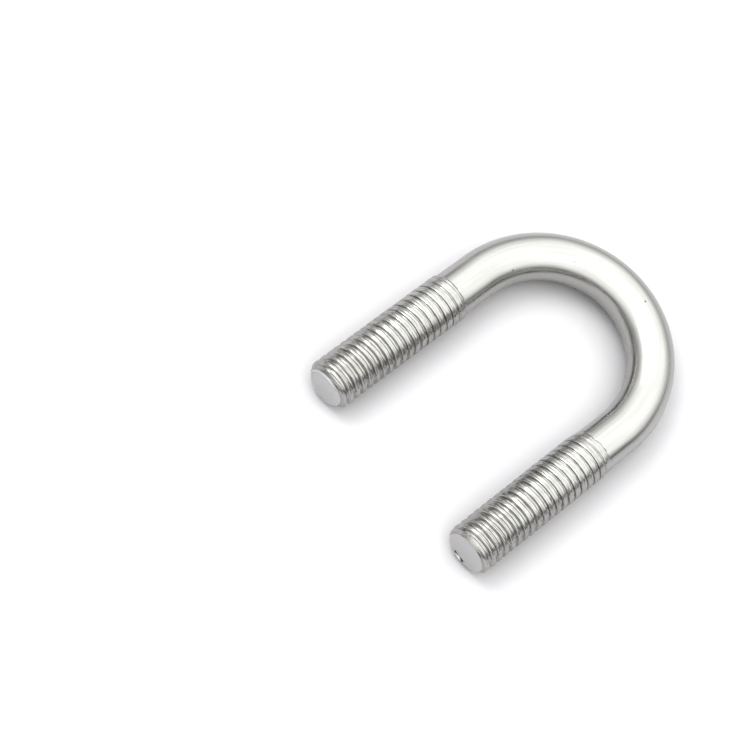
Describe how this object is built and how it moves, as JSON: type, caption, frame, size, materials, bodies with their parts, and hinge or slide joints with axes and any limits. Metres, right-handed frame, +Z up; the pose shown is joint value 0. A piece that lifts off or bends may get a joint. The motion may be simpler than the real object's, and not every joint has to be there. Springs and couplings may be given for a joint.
{
  "type": "u-bolt",
  "caption": "Round steel bar bent into a U, with a right-hand thread on each leg, for clamping a pipe or tube to a plate or bracket.",
  "frame": {"origin": "centre of the bottom of the bounding box, with the bolt lying flat", "axes": "+X along the legs, from the threaded ends towards the bend. +Y across the legs, towards the left leg. +Z up, square to the plane of the U."},
  "size_m": [0.039, 0.0298, 0.006],
  "materials": {
    "satin_steel": "bright satin, fine streaks along the bar, rolled threads"
  },
  "bodies": {
    "root": {"u_bolt": "satin_steel"}
  },
  "joints": []
}
